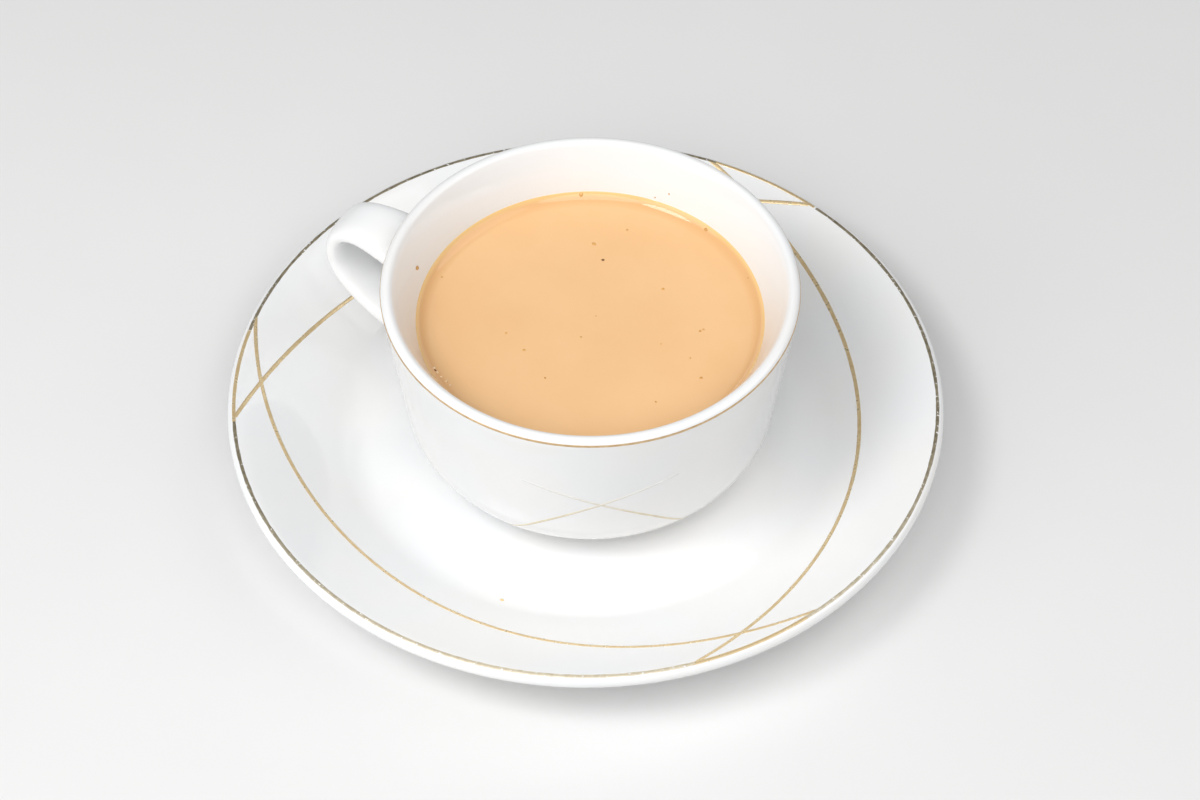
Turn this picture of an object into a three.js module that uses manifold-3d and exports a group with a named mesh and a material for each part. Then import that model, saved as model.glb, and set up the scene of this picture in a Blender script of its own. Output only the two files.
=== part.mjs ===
// A cup of milky tea standing on its saucer, both of thick white glazed porcelain.
// Millimetres, +Z up. The origin is the middle of the saucer's foot, on the surface it stands on.
// The cup's handle points along -X.

import * as THREE from 'three';
import { mergeVertices } from 'three/addons/utils/BufferGeometryUtils.js';
import Module from 'manifold-3d';

const wasm = await Module();
wasm.setup();

// Steps round every turned shape, and round a quarter of a small edge
const turnSteps = 64;
const edgeSteps = 4;

// Saucer
const saucerRadius = 76.4;
const saucerHeight = 17.4;
const saucerWall = 3.0;
const wellHeight = 5.8;
const wellThickness = 3.6;
const wellEdgeRadius = 53.6;
const wellEase = 4.0;
const saucerFootRadius = 40.0;
const saucerFootWidth = 4.0;

// Cup body
const cupX = 1.26;
const cupY = -0.48;
const restingGap = 0.2;
const cupTop = 52.2;
const lipRadius = 43.15;
const lipThickness = 2.9;
const lipCrown = 1.2;
const wallTaper = THREE.MathUtils.degToRad(7.2);
const shoulderTop = 20.1;
const shoulderRadius = 13.5;
const cupFootRadius = 25.0;
const cupFootWidth = 3.4;
const cupFootRecess = 1.7;
const cavityFloor = 12.5;
const cavityBottomRadius = 33.6;
const cavityFillet = 10.0;
const cavityBendHeight = 40.5;

// Handle: a broad rounded strap
const strapThickness = 4.0;
const strapSteps = 40;
const strapSides = 16;
const strapCornerPower = 0.7;
// The strap's middle line, from the upper joint to the lower one: distance from the cup's axis, height
const strapLine = [
  [39.2, 42.2],
  [45.4, 43.3],
  [50.1, 44.2],
  [54.4, 44.2],
  [57.9, 42.3],
  [59.5, 38.1],
  [58.9, 33.3],
  [56.0, 29.0],
  [51.7, 25.7],
  [47.0, 23.5],
  [36.6, 20.7],
];
// Its width, from the upper joint to the lower one: fraction of the length, width
const strapWidths = [
  [0.0, 16.6],
  [0.12, 14.3],
  [0.3, 11.1],
  [0.5, 10.4],
  [0.75, 12.4],
  [0.9, 15.0],
  [1.0, 16.2],
];

// Tea
const teaLevel = 42.1;
const teaClearance = 0.3;

const porcelain = new THREE.MeshStandardMaterial({ color: 0xf3f2ef, roughness: 0.12, metalness: 0.0 });
const milkyTea = new THREE.MeshStandardMaterial({ color: 0xe0ad7c, roughness: 0.15, metalness: 0.0 });

const point = (radius, height) => new THREE.Vector2(radius, height);

// Points on a circular or elliptic arc of a profile, angles in radians from the outward direction
function arc(centre, halfWidth, halfHeight, from, to, steps) {
  const points = [];
  for (let i = 0; i <= steps; i += 1) {
    const angle = from + ((to - from) * i) / steps;
    points.push(point(centre.x + halfWidth * Math.cos(angle), centre.y + halfHeight * Math.sin(angle)));
  }
  return points;
}

// A soft bend between two straight lines that meet at a corner, from start to end
function bend(start, corner, end) {
  return new THREE.QuadraticBezierCurve(start, corner, end).getPoints(edgeSteps);
}

// Drops the repeated vertices and the empty triangles at the poles
function weld(geometry) {
  geometry.deleteAttribute('normal');
  geometry.deleteAttribute('uv');
  const merged = mergeVertices(geometry, 1e-4);
  const index = merged.index.array;
  const kept = [];
  for (let i = 0; i < index.length; i += 3) {
    const [a, b, c] = [index[i], index[i + 1], index[i + 2]];
    if (a !== b && b !== c && c !== a) kept.push(a, b, c);
  }
  merged.setIndex(kept);
  return merged;
}

// Turns a profile, given from the bottom of the axis round to the top of the axis, about +Z
function turned(profile) {
  const geometry = new THREE.LatheGeometry(profile, turnSteps);
  geometry.rotateX(Math.PI / 2);
  return weld(geometry);
}

// Joins closed rings of points one after another and caps both ends
function lofted(rings) {
  const sides = rings[0].length;
  const positions = rings.flat().flatMap((p) => [p.x, p.y, p.z]);
  const index = [];
  for (let r = 0; r + 1 < rings.length; r += 1) {
    for (let s = 0; s < sides; s += 1) {
      const next = (s + 1) % sides;
      const [a, b, c, d] = [r * sides + s, r * sides + next, (r + 1) * sides + s, (r + 1) * sides + next];
      index.push(a, d, b, a, c, d);
    }
  }
  const last = (rings.length - 1) * sides;
  for (let s = 1; s + 1 < sides; s += 1) {
    index.push(0, s, s + 1);
    index.push(last, last + s + 1, last + s);
  }
  const geometry = new THREE.BufferGeometry();
  geometry.setAttribute('position', new THREE.Float32BufferAttribute(positions, 3));
  geometry.setIndex(index);
  return geometry;
}

function toSolid(geometry) {
  return new wasm.Manifold(new wasm.Mesh({
    numProp: 3,
    vertProperties: new Float32Array(geometry.attributes.position.array),
    triVerts: new Uint32Array(geometry.index.array),
  }));
}

function toGeometry(solid) {
  const mesh = solid.getMesh();
  const geometry = new THREE.BufferGeometry();
  geometry.setAttribute('position', new THREE.BufferAttribute(mesh.vertProperties, 3));
  geometry.setIndex(new THREE.BufferAttribute(mesh.triVerts, 1));
  return geometry;
}

function namedMesh(name, geometry, material) {
  geometry.computeVertexNormals();
  const mesh = new THREE.Mesh(geometry, material);
  mesh.name = name;
  return mesh;
}

// Saucer: a flat well, a soft bend, a straight sloping side and a fully rounded lip
function saucerProfile() {
  const lipHalf = saucerWall / 2;
  const lipCentre = point(saucerRadius - lipHalf, saucerHeight - lipHalf);
  const slope = Math.atan2(lipCentre.y - wellHeight, lipCentre.x - wellEdgeRadius);
  const along = point(Math.cos(slope), Math.sin(slope));
  const outward = point(Math.sin(slope), -Math.cos(slope));

  const wellUnderside = wellHeight - wellThickness;
  const lipUnder = lipCentre.clone().addScaledVector(outward, lipHalf);
  const underRun = (lipUnder.y - wellUnderside) / Math.tan(slope);
  const underCorner = point(lipUnder.x - underRun, wellUnderside);
  const wellCorner = point(lipCentre.x - lipHalf * outward.x, lipCentre.y - lipHalf * outward.y);
  const wellRun = (wellCorner.y - wellHeight) / Math.tan(slope);
  wellCorner.set(wellCorner.x - wellRun, wellHeight);

  const footInner = saucerFootRadius - saucerFootWidth;
  const footDraft = 0.7;
  const beside = (corner, distance) => point(corner.x - distance, corner.y);
  const up = (corner, distance) => corner.clone().addScaledVector(along, distance);
  return [
    point(0, wellUnderside),
    point(footInner - footDraft, wellUnderside),
    point(footInner, 0),
    point(saucerFootRadius, 0),
    point(saucerFootRadius + footDraft, wellUnderside),
    ...bend(beside(underCorner, wellEase), underCorner, up(underCorner, wellEase)),
    ...arc(lipCentre, lipHalf, lipHalf, slope - Math.PI / 2, slope + Math.PI / 2, 2 * edgeSteps),
    ...bend(up(wellCorner, wellEase), wellCorner, beside(wellCorner, wellEase)),
    point(0, wellHeight),
  ];
}

const lipBase = cupTop - lipCrown;
const cupBottom = wellHeight + restingGap;

// The cup's inside, from the middle of its floor up to a height, drawn in by a clearance
function cavityProfile(top, clearance) {
  const lipInside = point(lipRadius - lipThickness, lipBase);
  const filletCentre = point(cavityBottomRadius - cavityFillet, cavityFloor + cavityFillet);
  const wallStart = point(cavityBottomRadius, filletCentre.y);
  const wallBend = point(cavityBottomRadius, cavityBendHeight);
  const points = [
    point(0, cavityFloor + clearance),
    ...arc(filletCentre, cavityFillet - clearance, cavityFillet - clearance, -Math.PI / 2, 0, 2 * edgeSteps),
  ];
  const wall = new THREE.QuadraticBezierCurve(wallStart, wallBend, lipInside).getPoints(3 * edgeSteps);
  for (let i = 1; i < wall.length; i += 1) {
    const [below, above] = [wall[i - 1], wall[i]];
    if (above.y >= top) {
      const share = (top - below.y) / (above.y - below.y);
      points.push(point(below.x + share * (above.x - below.x) - clearance, top));
      break;
    }
    points.push(point(above.x - clearance, above.y));
  }
  return points;
}

// Cup body: foot ring, round shoulder, nearly upright side, rounded lip and the hollow inside
function cupProfile() {
  const shoulderWallRadius = lipRadius - (lipBase - shoulderTop) * Math.tan(wallTaper);
  const shoulderCentre = point(
    shoulderWallRadius - shoulderRadius * Math.cos(wallTaper),
    shoulderTop + shoulderRadius * Math.sin(wallTaper),
  );
  const lipCentre = point(lipRadius - lipThickness / 2, lipBase);
  const footInner = cupFootRadius - cupFootWidth;
  const footDraft = 0.5;
  return [
    point(0, cupBottom + cupFootRecess),
    point(footInner - footDraft, cupBottom + cupFootRecess),
    point(footInner, cupBottom),
    point(cupFootRadius, cupBottom),
    ...arc(shoulderCentre, shoulderRadius, shoulderRadius, -Math.PI / 2, -wallTaper, 2 * edgeSteps),
    ...arc(lipCentre, lipThickness / 2, lipCrown, 0, Math.PI, 2 * edgeSteps),
    ...cavityProfile(lipBase, 0).reverse().slice(1),
  ];
}

// Value at a place along a list of [place, value] steps
function valueAt(steps, place) {
  let i = 1;
  while (i + 1 < steps.length && steps[i][0] < place) i += 1;
  const [[fromPlace, from], [toPlace, to]] = [steps[i - 1], steps[i]];
  return THREE.MathUtils.lerp(from, to, THREE.MathUtils.smoothstep(place, fromPlace, toPlace));
}

// Handle: a rounded rectangular section carried along the strap's line, both ends sunk in the wall
function strap() {
  const line = new THREE.SplineCurve(strapLine.map(([distance, height]) => point(distance, height)));
  const rounded = (value) => Math.sign(value) * Math.abs(value) ** strapCornerPower;
  const rings = [];
  for (let i = 0; i <= strapSteps; i += 1) {
    const place = i / strapSteps;
    const middle = line.getPointAt(place);
    const tangent = line.getTangentAt(place);
    const halfWidth = valueAt(strapWidths, place) / 2;
    const halfThickness = strapThickness / 2;
    const ring = [];
    for (let s = 0; s < strapSides; s += 1) {
      const angle = (2 * Math.PI * (s + 0.5)) / strapSides;
      const across = halfWidth * rounded(Math.cos(angle));
      const through = halfThickness * rounded(Math.sin(angle));
      const distance = middle.x - tangent.y * through;
      const height = middle.y + tangent.x * through;
      ring.push(new THREE.Vector3(-distance, across, height));
    }
    rings.push(ring);
  }
  return lofted(rings);
}

const saucer = namedMesh('saucer', turned(saucerProfile()), porcelain);

const cupSolid = toSolid(turned(cupProfile())).add(toSolid(strap()));
const cup = namedMesh('cup', toGeometry(cupSolid), porcelain);
cup.position.set(cupX, cupY, 0);

const teaTop = point(0, teaLevel);
const tea = namedMesh('tea', turned([...cavityProfile(teaLevel, teaClearance), teaTop]), milkyTea);
tea.position.set(cupX, cupY, 0);

const cupOfTea = new THREE.Group();
cupOfTea.add(saucer, cup, tea);

export default cupOfTea;
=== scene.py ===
# %% [markdown]
# # A cup of tea with milk
# A small, thick-walled teacup stands in the well of its saucer. Both are white porcelain under a
# clear glaze, with fine gilt lines, and the cup is two thirds full of milky tea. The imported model
# fixes every size and place. This file gives it smooth surfaces, real finishes, light and a camera.

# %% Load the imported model
import math

import bpy
import numpy as np
from mathutils import Matrix, Vector
from mathutils.bvhtree import BVHTree


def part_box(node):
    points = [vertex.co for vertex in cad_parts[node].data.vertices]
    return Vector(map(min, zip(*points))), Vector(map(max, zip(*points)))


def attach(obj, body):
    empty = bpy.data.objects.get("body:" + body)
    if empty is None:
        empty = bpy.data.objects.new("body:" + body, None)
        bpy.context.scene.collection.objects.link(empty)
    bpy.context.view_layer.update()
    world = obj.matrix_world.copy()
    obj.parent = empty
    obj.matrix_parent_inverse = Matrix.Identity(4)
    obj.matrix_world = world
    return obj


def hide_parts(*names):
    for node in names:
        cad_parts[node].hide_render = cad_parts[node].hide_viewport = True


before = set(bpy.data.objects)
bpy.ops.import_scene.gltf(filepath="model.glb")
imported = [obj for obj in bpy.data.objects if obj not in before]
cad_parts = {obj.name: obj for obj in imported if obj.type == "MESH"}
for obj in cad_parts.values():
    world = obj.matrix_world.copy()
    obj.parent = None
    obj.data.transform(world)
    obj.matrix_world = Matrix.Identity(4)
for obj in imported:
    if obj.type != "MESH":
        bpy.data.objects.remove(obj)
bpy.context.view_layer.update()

mm = 0.001
print("solids in the model:", sorted(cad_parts))

# %% [markdown]
# ## Sizes read off the model
# Every later size starts from the solids' own boxes, so that the looks can't drift from the model.
# The saucer is turned about the origin. The cup is turned about its own axis, a little to one side,
# and its handle reaches towards -X, so the cup's box is only symmetrical across Y.

# %% Sizes read off the model
_, saucer_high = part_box("saucer")
cup_low, cup_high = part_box("cup")
_, tea_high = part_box("tea")
saucer_radius = saucer_high.x
saucer_height = saucer_high.z
lip_radius = (cup_high.y - cup_low.y) / 2
cup_axis = Vector((cup_high.x - lip_radius, (cup_high.y + cup_low.y) / 2, 0))
cup_top = cup_high.z
cup_bottom = cup_low.z
tea_level = tea_high.z
print(f"saucer {2 * saucer_radius / mm:.1f} mm across and {saucer_height / mm:.1f} mm high")
print(f"cup {2 * lip_radius / mm:.1f} mm across, tea up to {tea_level / mm:.1f} mm")

# %% [markdown]
# ## Camera
# The photograph looks down at about 49 degrees from two thirds of a metre away, through a fairly
# long lens. The camera could be aimed with a Track To constraint, but a fixed pan, tilt and roll are
# easier to match to a photograph. One helper turns a pixel of the 1200 by 800 picture into a ray
# from the lens.

# %% Camera
picture_width, picture_height = 1200, 800
focal_length_px = 3100
camera_bearing = math.radians(27.0)
camera_reach = 434.4 * mm
camera_height = 517.4 * mm
camera_pan, camera_tilt, camera_roll = (math.radians(angle) for angle in (0.40, 49.20, 0.32))


def put(name, data):
    """An object in the scene, made from a mesh, a lamp or a camera"""
    made = bpy.data.objects.new(name, data)
    bpy.context.scene.collection.objects.link(made)
    return made


camera_data = bpy.data.cameras.new("camera")
camera_data.sensor_width = 36
camera_data.lens = camera_data.sensor_width * focal_length_px / picture_width
camera_data.clip_start = 10 * mm
camera = put("camera", camera_data)
bpy.context.scene.camera = camera
camera_place = Vector((
    camera_reach * math.sin(camera_bearing),
    -camera_reach * math.cos(camera_bearing),
    camera_height,
))
camera_turn = (
    Matrix.Rotation(camera_bearing - camera_pan, 3, "Z")
    @ Matrix.Rotation(math.radians(90) - camera_tilt, 3, "X")
    @ Matrix.Rotation(camera_roll, 3, "Z")
)
camera.matrix_world = Matrix.Translation(camera_place) @ camera_turn.to_4x4()


def ray_through(pixel):
    """The direction from the lens through a pixel of the photograph"""
    across = (pixel[0] - picture_width / 2) / focal_length_px
    upward = (picture_height / 2 - pixel[1]) / focal_length_px
    return (camera_turn @ Vector((across, upward, -1))).normalized()


print(f"lens {camera_data.lens:.0f} mm, {camera_place.length / mm:.0f} mm from the saucer's middle")

# %% [markdown]
# ## Floor and light
# A plain pale floor, and soft light as from a wide window at the left and front, with a white wall
# opposite. The directions can be read from the picture: the cup's shadow falls to the right and
# back, its front is nearly as bright as the saucer, and the tea's curled-up edge catches the light
# at the far right. The view transform is Standard, so that white glaze can come out near white.

# %% Floor
scene = bpy.context.scene
scene.view_settings.view_transform = "Standard"

floor_half = 2.5
floor_drop = 0.02 * mm
floor_signs = [(-1, -1), (1, -1), (1, 1), (-1, 1)]
floor_corners = [(x * floor_half, y * floor_half, -floor_drop) for x, y in floor_signs]
floor_mesh = bpy.data.meshes.new("floor")
floor_mesh.from_pydata(floor_corners, [], [(0, 1, 2, 3)])
floor = put("floor", floor_mesh)

# %% Light
surround_strength = 0.16
surround = bpy.data.worlds.new("surround")
surround.use_nodes = True
background = surround.node_tree.nodes["Background"].inputs
background["Color"].default_value = (1.0, 1.0, 1.0, 1)
background["Strength"].default_value = surround_strength
scene.world = surround

lamp_distance = 1.1


def soft_lamp(name, bearing, elevation, size, power):
    """A round soft lamp that looks at the cup from a bearing and an elevation, in degrees"""
    b, e = math.radians(bearing), math.radians(elevation)
    direction = Vector((math.cos(e) * math.cos(b), math.cos(e) * math.sin(b), math.sin(e)))
    lamp_data = bpy.data.lights.new(name, "AREA")
    lamp_data.shape = "DISK"
    lamp_data.size = size
    lamp_data.energy = power
    turn = direction.to_track_quat("Z", "Y").to_matrix().to_4x4()
    put(name, lamp_data).matrix_world = Matrix.Translation(direction * lamp_distance) @ turn


soft_lamp("window_left", bearing=236, elevation=57, size=0.40, power=3.4)
soft_lamp("window_low", bearing=238, elevation=35, size=0.90, power=3.7)
soft_lamp("window_front", bearing=297, elevation=55, size=0.90, power=5.8)
soft_lamp("white_wall", bearing=27, elevation=50, size=0.90, power=3.0)

# %% [markdown]
# ## Small tools for node trees
# Shader trees and Geometry Nodes trees are both made of nodes, values and links, so the same
# helpers can write both. Another one runs a Geometry Nodes tree once and keeps only the plain mesh,
# which is what the export needs.

# %% Tools for node trees
def wire(tree, node, wires):
    """Feeds a node. wires maps an input to a value, or to the output that feeds it"""
    for key, value in wires.items():
        if isinstance(value, bpy.types.NodeSocket):
            tree.links.new(value, node.inputs[key])
        else:
            node.inputs[key].default_value = value


def add(tree, kind, wires=None, **settings):
    """Adds a node with its settings and feeds it"""
    made = tree.nodes.new(kind)
    for key, value in settings.items():
        setattr(made, key, value)
    wire(tree, made, wires or {})
    return made


def sums(tree, operation, *values):
    """One Math node, and its result"""
    return add(tree, "ShaderNodeMath", dict(enumerate(values)), operation=operation).outputs[0]


def vectors(tree, operation, wires):
    """One Vector Math node, and its outputs"""
    return add(tree, "ShaderNodeVectorMath", wires, operation=operation).outputs


# %% Tools for Geometry Nodes
def new_tree(name, sizes):
    """A Geometry Nodes tree with named inputs, and the outputs of its Group Input by name"""
    tree = bpy.data.node_groups.new(name, "GeometryNodeTree")
    for title, kind in [("Geometry", "Geometry"), *sizes.items()]:
        tree.interface.new_socket(title, in_out="INPUT", socket_type="NodeSocket" + kind)
    tree.interface.new_socket("Geometry", in_out="OUTPUT", socket_type="NodeSocketGeometry")
    given = tree.nodes.new("NodeGroupInput").outputs
    return tree, given


def finish_tree(tree, geometry, material):
    """Smooth faces, real instances and a material, then the tree's output"""
    smooth = add(tree, "GeometryNodeSetShadeSmooth", {"Geometry": geometry}).outputs[0]
    real = add(tree, "GeometryNodeRealizeInstances", {"Geometry": smooth}).outputs[0]
    painted = add(tree, "GeometryNodeSetMaterial", {"Geometry": real, "Material": material})
    add(tree, "NodeGroupOutput", {0: painted.outputs[0]})


def grow(name, start, tree, **sizes):
    """Runs a tree on a start mesh and returns the result as an object with a plain mesh"""
    draft = put(name + "_draft", start)
    modifier = draft.modifiers.new(name, "NODES")
    modifier.node_group = tree
    for item in tree.interface.items_tree:
        if item.item_type == "SOCKET" and item.in_out == "INPUT" and item.name in sizes:
            modifier[item.identifier] = sizes[item.name]
    depsgraph = bpy.context.evaluated_depsgraph_get()
    mesh = bpy.data.meshes.new_from_object(draft.evaluated_get(depsgraph))
    bpy.data.objects.remove(draft)
    return put(name, mesh)


def line_mesh(name, points):
    """A mesh of one line of edges, which a tree can turn, sweep or follow"""
    edges = [(number, number + 1) for number in range(len(points) - 1)]
    mesh = bpy.data.meshes.new(name)
    mesh.from_pydata([tuple(point) for point in points], edges, [])
    return mesh


# %% [markdown]
# ## Turning on a wheel
# Cup and saucer are made on a wheel: one profile turned about an axis. The Screw modifier would do
# it, but a Geometry Nodes tree does it with named sizes and closes the seam and the poles itself.
# The tree lays out a grid, one column for each step round and one row for each profile point, and
# moves each of its points to where the turned profile passes.

# %% The wheel tree
wheel, given = new_tree("Wheel", {"Steps": "Int", "Axis": "Vector", "Material": "Material"})
profile_size = add(wheel, "GeometryNodeAttributeDomainSize", {"Geometry": given["Geometry"]})
rows = profile_size.outputs["Point Count"]
columns = add(wheel, "FunctionNodeIntegerMath", {0: given["Steps"], 1: 1}, operation="ADD").outputs[0]
sheet = add(wheel, "GeometryNodeMeshGrid", {"Vertices X": columns, "Vertices Y": rows}).outputs["Mesh"]
index = add(wheel, "GeometryNodeInputIndex").outputs[0]
row = add(wheel, "FunctionNodeIntegerMath", {0: index, 1: rows}, operation="MODULO").outputs[0]
column = add(wheel, "FunctionNodeIntegerMath", {0: index, 1: rows}, operation="DIVIDE_FLOOR").outputs[0]
turn = sums(wheel, "MULTIPLY", sums(wheel, "DIVIDE", column, given["Steps"]), 2 * math.pi)
position = add(wheel, "GeometryNodeInputPosition").outputs[0]
profile_point = add(wheel, "GeometryNodeSampleIndex", {
    "Geometry": given["Geometry"], "Value": position, "Index": row,
}, data_type="FLOAT_VECTOR").outputs["Value"]
radius_height = add(wheel, "ShaderNodeSeparateXYZ", {0: profile_point}).outputs
turned_point = add(wheel, "ShaderNodeCombineXYZ", {
    "X": sums(wheel, "MULTIPLY", radius_height["X"], sums(wheel, "COSINE", turn)),
    "Y": sums(wheel, "MULTIPLY", radius_height["X"], sums(wheel, "SINE", turn)),
    "Z": radius_height["Z"],
}).outputs[0]
placed = vectors(wheel, "ADD", {0: turned_point, 1: given["Axis"]})[0]
bent = add(wheel, "GeometryNodeSetPosition", {"Geometry": sheet, "Position": placed}).outputs[0]
seam_distance = 0.001 * mm
joined = add(wheel, "GeometryNodeMergeByDistance", {"Geometry": bent, "Distance": seam_distance})
finish_tree(wheel, joined.outputs[0], given["Material"])

wheel_steps = 256


def turned(name, profile, axis, material):
    """A body of revolution from a list of (radius, height), run from the foot out and up to the top"""
    start = line_mesh(name, [(radius, 0, height) for radius, height in profile])
    return grow(name, start, wheel, Steps=wheel_steps, Axis=tuple(axis), Material=material)


# %% [markdown]
# ## Drawing profiles
# A pot's profile is straight runs joined by rounded corners. These helpers draw it from its corners
# and their radii, the way a template is cut, and space the points closely enough that the smooth
# shading stays true on long straight runs.

# %% Arcs and rounded corners
def arc(centre, half_width, half_height, start, end, steps):
    """Points on a circular or elliptic arc, angles in degrees from the outward direction"""
    x, y = centre
    angles = np.radians(np.linspace(start, end, steps + 1))
    return [(x + half_width * math.cos(angle), y + half_height * math.sin(angle)) for angle in angles]


def rounded(corners, steps=8):
    """A line through (radius, height, rounding) corners, each rounded by an arc of that radius"""
    points = [np.array(corners[0][:2])]
    for before, corner, after in zip(corners, corners[1:], corners[2:]):
        here = np.array(corner[:2])
        back = (np.array(before[:2]) - here) / math.dist(before[:2], corner[:2])
        ahead = (np.array(after[:2]) - here) / math.dist(after[:2], corner[:2])
        half_angle = math.acos(np.clip(back @ ahead, -1, 1)) / 2
        run = corner[2] / math.tan(half_angle)
        middle = (back + ahead) / np.linalg.norm(back + ahead)
        centre = here + middle * corner[2] / math.sin(half_angle)
        first, last = here + back * run - centre, here + ahead * run - centre
        sweep = math.atan2(first[0] * last[1] - first[1] * last[0], first @ last)
        for share in np.linspace(0, 1, steps + 1):
            c, s = math.cos(sweep * share), math.sin(sweep * share)
            points.append(centre + np.array((c * first[0] - s * first[1], s * first[0] + c * first[1])))
    points.append(np.array(corners[-1][:2]))
    return [tuple(point) for point in points]


# %% Lines of points
def softened(line, passes):
    """The same line with its corners eased, its ends kept"""
    line = np.array(line, float)
    for _ in range(passes):
        line[1:-1] = (line[:-2] + 2 * line[1:-1] + line[2:]) / 4
    return line


def run_lengths(line):
    """How far along the line each of its points lies"""
    return np.r_[0, np.cumsum(np.linalg.norm(np.diff(line, axis=0), axis=1))]


def evenly(line, count):
    """Evenly spaced points along a line"""
    line = np.array(line, float)
    lengths = run_lengths(line)
    places = np.linspace(0, lengths[-1], count)
    return np.column_stack([np.interp(places, lengths, line[:, k]) for k in range(line.shape[1])])


def spaced(points, gap=1.6 * mm):
    """The same line with points added on the long runs"""
    out = [points[0]]
    for before, after in zip(points, points[1:]):
        parts = max(1, round(math.dist(before, after) / gap))
        for part in range(1, parts + 1):
            share = part / parts
            out.append(tuple(b + share * (a - b) for b, a in zip(before, after)))
    return out


def radius_on(line, height):
    """The radius of a rising line of (radius, height) at a height"""
    radii, heights = zip(*line)
    return float(np.interp(height, heights, radii))


# %% [markdown]
# ## Glazed porcelain
# Real glaze is white with a hint of cold or warm, glossy, and very slightly wavy, so that
# reflections swim a little. A Principled shader does this with three noises: a broad one for the
# tone, a middle one for the waviness and a fine one for the roughness. Each is sized by how many
# of its waves fit in a metre. The foot rings, which the maker wipes clean of glaze, are matt: a
# mask on the height picks them out.

# %% Tools for finishes
def new_material(name):
    """A material with an empty tree, its Principled shader and its object coordinates"""
    material = bpy.data.materials.new(name)
    material.use_nodes = True
    tree = material.node_tree
    shader = tree.nodes["Principled BSDF"]
    place = add(tree, "ShaderNodeTexCoord").outputs["Object"]
    return material, tree, shader, place


def noise(tree, place, scale, detail=2.0):
    """A noise pattern that sits still on the piece, from 0 to 1. scale counts waves in a metre"""
    wires = {"Vector": place, "Scale": scale, "Detail": detail}
    return add(tree, "ShaderNodeTexNoise", wires).outputs["Fac"]


def between(tree, value, low, high, to_low=0.0, to_high=1.0):
    """Stretches a value from one range to another and holds it at the ends"""
    wires = {"Value": value, "From Min": low, "From Max": high, "To Min": to_low, "To Max": to_high}
    return add(tree, "ShaderNodeMapRange", wires).outputs["Result"]


def mixed(tree, share, first, second):
    """A colour between two"""
    ends = [end if isinstance(end, bpy.types.NodeSocket) else (*end, 1) for end in (first, second)]
    wires = {"Factor": share, 6: ends[0], 7: ends[1]}
    return add(tree, "ShaderNodeMix", wires, data_type="RGBA").outputs[2]


def bump(tree, height, strength, depth):
    """A bump from a height pattern"""
    wires = {"Height": height, "Strength": strength, "Distance": depth}
    return add(tree, "ShaderNodeBump", wires).outputs[0]


# %% Glazed porcelain
glaze_cold = (0.884, 0.894, 0.902)
glaze_warm = (0.904, 0.901, 0.892)
glaze_rough = (0.045, 0.085)
glaze_ior = 1.53
bare_clay = (0.80, 0.77, 0.72)
bare_clay_rough = 0.65
wiped_edge = 0.15 * mm
tone_waves, surface_waves, polish_waves = 45, 120, 900


def porcelain(name, foot_height):
    """White glaze, with the wiped foot ring below foot_height"""
    material, tree, shader, place = new_material(name)
    tone = between(tree, noise(tree, place, tone_waves), 0.35, 0.65)
    glaze = mixed(tree, tone, glaze_cold, glaze_warm)
    height = add(tree, "ShaderNodeSeparateXYZ", {0: place}).outputs["Z"]
    wiped = between(tree, height, foot_height + wiped_edge, foot_height)
    skin = mixed(tree, wiped, glaze, bare_clay)
    polish = between(tree, noise(tree, place, polish_waves, 3.0), 0.3, 0.7, *glaze_rough)
    rough = sums(tree, "MAXIMUM", polish, sums(tree, "MULTIPLY", wiped, bare_clay_rough))
    waves = bump(tree, noise(tree, place, surface_waves, 1.0), strength=0.12, depth=0.1 * mm)
    wire(tree, shader, {"Base Color": skin, "Roughness": rough, "Normal": waves, "IOR": glaze_ior})
    return material


saucer_glaze = porcelain("saucer_glaze", foot_height=0.35 * mm)
cup_glaze = porcelain("cup_glaze", foot_height=cup_bottom + 0.3 * mm)

# %% [markdown]
# ## Saucer
# A flat well, a soft bend, a straight sloping side and a fully rounded lip, on a foot ring. The
# side could be drawn by eye, but it follows from four sizes: where the well ends, how high it lies,
# and the lip's radius and height. The underside runs parallel to the top, one wall lower.

# %% Saucer side
saucer_wall = 3.0 * mm
well_height = 5.8 * mm
well_thickness = 3.6 * mm
well_edge = 53.6 * mm

lip_half = saucer_wall / 2
saucer_lip = (saucer_radius - lip_half, saucer_height - lip_half)
side_slope = math.atan2(saucer_lip[1] - well_height, saucer_lip[0] - well_edge)
side_degrees = math.degrees(side_slope)
well_underside = well_height - well_thickness


def side_corner(offset, level):
    """Where the side, that far above the middle of the lip's wall, comes down to a level"""
    from_lip = (saucer_lip[1] + offset * math.cos(side_slope) - level) / math.tan(side_slope)
    return saucer_lip[0] - offset * math.sin(side_slope) - from_lip


upper_corner = side_corner(lip_half, well_height)
lower_corner = side_corner(-lip_half, well_underside)
print(f"the saucer's side slopes {side_degrees:.1f} degrees, from {upper_corner / mm:.1f} mm out")

# %% Saucer
foot_outside, foot_inside = 40.0 * mm, 36.0 * mm
foot_draft = 0.7 * mm
foot_rounding = 0.5 * mm
bend_radius = 16 * mm

saucer_lip_arc = arc(saucer_lip, lip_half, lip_half, side_degrees - 90, side_degrees + 90, steps=24)
underneath = rounded([
    (0, well_underside, 0),
    (foot_inside - foot_draft, well_underside, foot_rounding),
    (foot_inside, 0, foot_rounding),
    (foot_outside, 0, foot_rounding),
    (foot_outside + foot_draft, well_underside, foot_rounding),
    (lower_corner, well_underside, bend_radius),
    (*saucer_lip_arc[0], 0),
])
top_side = rounded([
    (*saucer_lip_arc[-1], 0),
    (upper_corner, well_height, bend_radius),
    (0, well_height, 0),
], steps=12)
saucer_profile = spaced(underneath + saucer_lip_arc[1:] + top_side[1:])
saucer = turned("saucer_porcelain", saucer_profile, (0, 0, 0), saucer_glaze)
print("saucer", len(saucer.data.polygons), "faces")

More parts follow.
